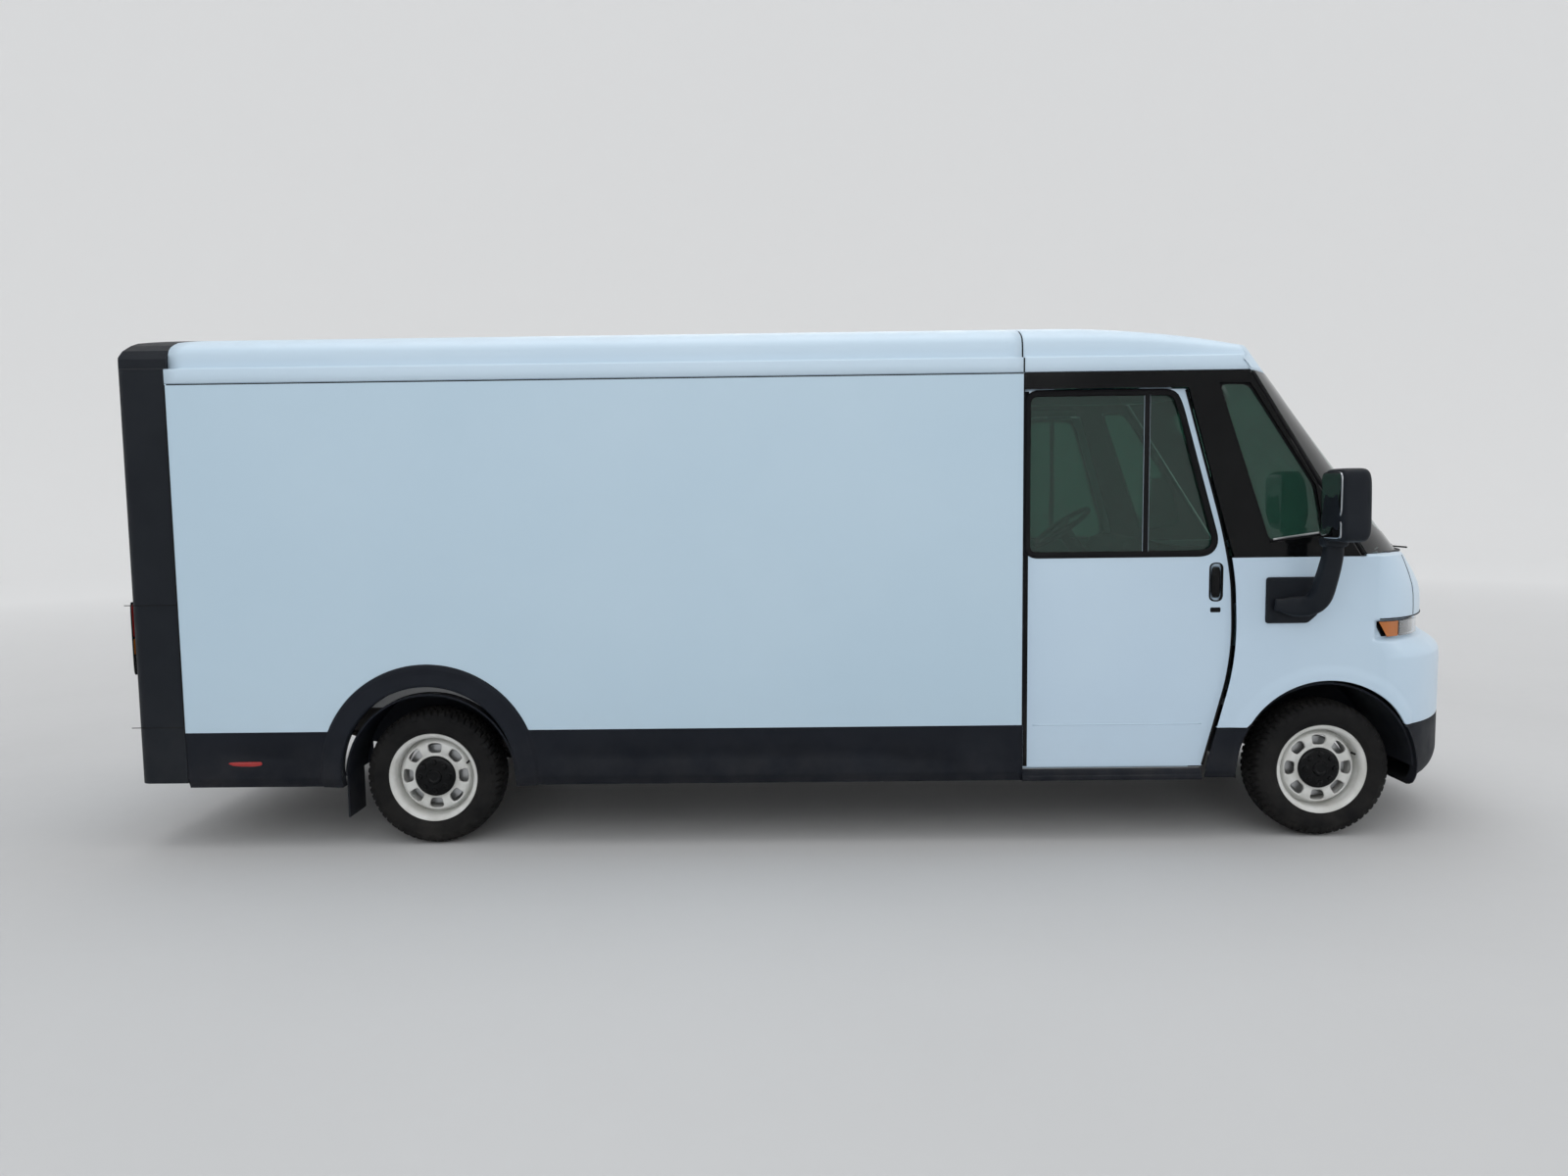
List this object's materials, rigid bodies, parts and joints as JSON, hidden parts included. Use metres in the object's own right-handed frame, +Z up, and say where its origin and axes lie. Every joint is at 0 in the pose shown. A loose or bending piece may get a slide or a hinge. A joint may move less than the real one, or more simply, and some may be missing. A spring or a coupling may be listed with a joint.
{
  "type": "mail delivery truck",
  "caption": "Electric walk-in mail delivery truck with a composite cargo box, pocket sliding side doors, twin rear doors, steered front wheels and a rounded cab.",
  "frame": {"origin": "on the ground under the middle of the truck's length and width", "axes": "+X forward, +Y to the truck's left, +Z up"},
  "size_m": [7.216, 2.95, 2.735],
  "materials": {
    "frame_black": "satin",
    "battery_grey": "cast, matte",
    "floor_grey": "textured, non-slip",
    "box_white": "pale blue-tinted white, satin gloss over fibre-reinforced panels",
    "cab_white": "white gloss paint",
    "liner_grey": "light grey lining panels",
    "trim_black": "moulded black trim with a fine texture",
    "gloss_black": "gloss black",
    "tinted_glass": "green tinted",
    "lamp_clear": "clear and amber lenses",
    "lamp_red": "red lenses",
    "track_alu": "extruded, satin",
    "dash_grey": "grained dark grey",
    "wheel_white": "white enamel",
    "tyre_rubber": "black rubber",
    "knuckle_iron": "bare casting",
    "seat_fabric": "woven dark grey seat cloth"
  },
  "bodies": {
    "van": {"chassis_frame": "frame_black", "battery_pack": "battery_grey", "rear_axle": "frame_black", "front_subframe": "frame_black", "floor": "floor_grey", "side_panel_right": "box_white", "side_panel_left": "box_white", "cargo_liners": "liner_grey", "box_roof": "box_white", "cab_roof": "cab_white", "cab_body": "cab_white", "window_frames": "gloss_black", "fixed_glass": "tinted_glass", "rear_frame": "trim_black", "rear_step": "trim_black", "side_trims": "trim_black", "front_bumper": "trim_black", "arch_liners": "trim_black", "front_lamps": "lamp_clear", "rear_lamps": "lamp_red", "door_tracks": "track_alu", "dashboard": "dash_grey", "steering_column": "dash_grey", "bulkhead": "liner_grey", "mirror_arms": "trim_black", "charge_inlet": "trim_black", "seat_pedestal": "frame_black"},
    "steering_wheel_body": {"steering_wheel": "dash_grey"},
    "knuckle_left_body": {"knuckle_left": "knuckle_iron"},
    "knuckle_right_body": {"knuckle_right": "knuckle_iron"},
    "road_wheel_front_left": {"tyre_front_left": "tyre_rubber", "wheel_front_left": "wheel_white"},
    "road_wheel_front_right": {"tyre_front_right": "tyre_rubber", "wheel_front_right": "wheel_white"},
    "road_wheel_rear_left": {"tyre_rear_left": "tyre_rubber", "wheel_rear_left": "wheel_white"},
    "road_wheel_rear_right": {"tyre_rear_right": "tyre_rubber", "wheel_rear_right": "wheel_white"},
    "side_door_right_body": {"side_door_right": "cab_white", "fixed_pane_right": "tinted_glass"},
    "sliding_pane_right_body": {"sliding_pane_right": "tinted_glass"},
    "door_handle_right_body": {"door_handle_right": "gloss_black"},
    "rear_door_right_body": {"rear_door_right": "box_white"},
    "mirror_right_body": {"mirror_head_right": "trim_black"},
    "wiper_right_body": {"wiper_right": "trim_black"},
    "side_door_left_body": {"side_door_left": "cab_white", "fixed_pane_left": "tinted_glass"},
    "sliding_pane_left_body": {"sliding_pane_left": "tinted_glass"},
    "door_handle_left_body": {"door_handle_left": "gloss_black"},
    "rear_door_left_body": {"rear_door_left": "box_white"},
    "mirror_left_body": {"mirror_head_left": "trim_black"},
    "wiper_left_body": {"wiper_left": "trim_black"},
    "rear_latch_body": {"rear_latch": "trim_black"},
    "accelerator_body": {"accelerator_pedal": "trim_black"},
    "brake_body": {"brake_pedal": "trim_black"},
    "seat_base_body": {"seat_cushion": "seat_fabric"},
    "seat_back_body": {"seat_back": "seat_fabric"},
    "jump_seat_body": {"jump_seat": "seat_fabric"},
    "bulkhead_door_body": {"bulkhead_door": "liner_grey"},
    "charge_flap_body": {"charge_flap": "cab_white"}
  },
  "joints": [
    {"name": "steering_wheel_turn", "type": "hinge", "parent": "van", "child": "steering_wheel_body", "pos_m": [1.602, 0.45, 1.59], "axis": [-0.5736, 0, 0.8191], "range_deg": [-450, 450]},
    {"name": "steer_left", "type": "hinge", "parent": "van", "child": "knuckle_left_body", "pos_m": [2.612, 0.76, 0.359], "axis": [0, 0, 1], "range_deg": [-33, 33]},
    {"name": "steer_right", "type": "hinge", "parent": "van", "child": "knuckle_right_body", "pos_m": [2.612, -0.76, 0.359], "axis": [0, 0, 1], "range_deg": [-33, 33]},
    {"name": "spin_front_left", "type": "hinge", "parent": "knuckle_left_body", "child": "road_wheel_front_left", "pos_m": [2.612, 0.8975, 0.359], "axis": [0, 1, 0], "continuous": true},
    {"name": "spin_front_right", "type": "hinge", "parent": "knuckle_right_body", "child": "road_wheel_front_right", "pos_m": [2.612, -0.8975, 0.359], "axis": [0, 1, 0], "continuous": true},
    {"name": "spin_rear_left", "type": "hinge", "parent": "van", "child": "road_wheel_rear_left", "pos_m": [-2.034, 0.8975, 0.359], "axis": [0, 1, 0], "continuous": true},
    {"name": "spin_rear_right", "type": "hinge", "parent": "van", "child": "road_wheel_rear_right", "pos_m": [-2.034, -0.8975, 0.359], "axis": [0, 1, 0], "continuous": true},
    {"name": "side_door_right_slide", "type": "slide", "parent": "van", "child": "side_door_right_body", "axis": [-1, 0, 0], "range_m": [0, 0.9]},
    {"name": "pane_right_slide", "type": "slide", "parent": "side_door_right_body", "child": "sliding_pane_right_body", "axis": [-1, 0, 0], "range_m": [0, 0.33]},
    {"name": "door_handle_right_pull", "type": "hinge", "parent": "side_door_right_body", "child": "door_handle_right_body", "pos_m": [2.052, -1.013, 1.345], "axis": [0, 0, 1], "range_deg": [0, 25], "stiffness_Nm_per_rad": 1, "springref_deg": -11.46},
    {"name": "side_door_left_slide", "type": "slide", "parent": "van", "child": "side_door_left_body", "axis": [-1, 0, 0], "range_m": [0, 0.9]},
    {"name": "pane_left_slide", "type": "slide", "parent": "side_door_left_body", "child": "sliding_pane_left_body", "axis": [-1, 0, 0], "range_m": [0, 0.33]},
    {"name": "door_handle_left_pull", "type": "hinge", "parent": "side_door_left_body", "child": "door_handle_left_body", "pos_m": [2.052, 1.013, 1.345], "axis": [0, 0, -1], "range_deg": [0, 25], "stiffness_Nm_per_rad": 1, "springref_deg": -11.46},
    {"name": "rear_door_right_swing", "type": "hinge", "parent": "van", "child": "rear_door_right_body", "pos_m": [-3.572, -0.895, 1.5], "axis": [0, 0, 1], "range_deg": [0, 110]},
    {"name": "rear_door_left_swing", "type": "hinge", "parent": "van", "child": "rear_door_left_body", "pos_m": [-3.572, 0.895, 1.5], "axis": [0, 0, -1], "range_deg": [0, 110]},
    {"name": "rear_latch_turn", "type": "hinge", "parent": "rear_door_right_body", "child": "rear_latch_body", "pos_m": [-3.568, -0.09, 1.15], "axis": [1, 0, 0], "range_deg": [0, 90]},
    {"name": "mirror_right_fold", "type": "hinge", "parent": "van", "child": "mirror_right_body", "pos_m": [2.517, -1.24, 1.56], "axis": [0, 0, 1], "range_deg": [-75, 30]},
    {"name": "mirror_left_fold", "type": "hinge", "parent": "van", "child": "mirror_left_body", "pos_m": [2.517, 1.24, 1.56], "axis": [0, 0, -1], "range_deg": [-75, 30]},
    {"name": "wiper_right_sweep", "type": "hinge", "parent": "van", "child": "wiper_right_body", "pos_m": [3.28384, -0.06, 1.453], "axis": [-0.7716, 0, -0.6361], "range_deg": [0, 80]},
    {"name": "wiper_left_sweep", "type": "hinge", "parent": "van", "child": "wiper_left_body", "pos_m": [3.28384, 0.06, 1.453], "axis": [0.7716, 0, 0.6361], "range_deg": [0, 80]},
    {"name": "accelerator_press", "type": "hinge", "parent": "van", "child": "accelerator_body", "pos_m": [2.342, 0.34, 1.06], "axis": [0, -1, 0], "range_deg": [0, 18], "stiffness_Nm_per_rad": 30, "springref_deg": -14.32},
    {"name": "brake_press", "type": "hinge", "parent": "van", "child": "brake_body", "pos_m": [2.342, 0.45, 1.06], "axis": [0, -1, 0], "range_deg": [0, 18], "stiffness_Nm_per_rad": 30, "springref_deg": -14.32},
    {"name": "seat_slide", "type": "slide", "parent": "van", "child": "seat_base_body", "axis": [1, 0, 0], "range_m": [-0.08, 0.15]},
    {"name": "seat_recline", "type": "hinge", "parent": "seat_base_body", "child": "seat_back_body", "pos_m": [1.032, 0.45, 1.16], "axis": [0, -1, 0], "range_deg": [-8, 15]},
    {"name": "jump_seat_fold", "type": "hinge", "parent": "van", "child": "jump_seat_body", "pos_m": [0.532, -0.6, 1.16], "axis": [0, 1, 0], "range_deg": [0, 90]},
    {"name": "bulkhead_door_slide", "type": "slide", "parent": "van", "child": "bulkhead_door_body", "axis": [0, -1, 0], "range_m": [0, 0.6]},
    {"name": "charge_flap_open", "type": "hinge", "parent": "van", "child": "charge_flap_body", "pos_m": [2.716, 1.051, 1.225], "axis": [0, 0, -1], "range_deg": [0, 100]}
  ],
  "couplings": [
    {"joint": "steer_left", "follows": "steering_wheel_turn", "ratio": 0.0711},
    {"joint": "steer_right", "follows": "steering_wheel_turn", "ratio": 0.0711},
    {"joint": "wiper_left_sweep", "follows": "wiper_right_sweep", "ratio": 1}
  ]
}
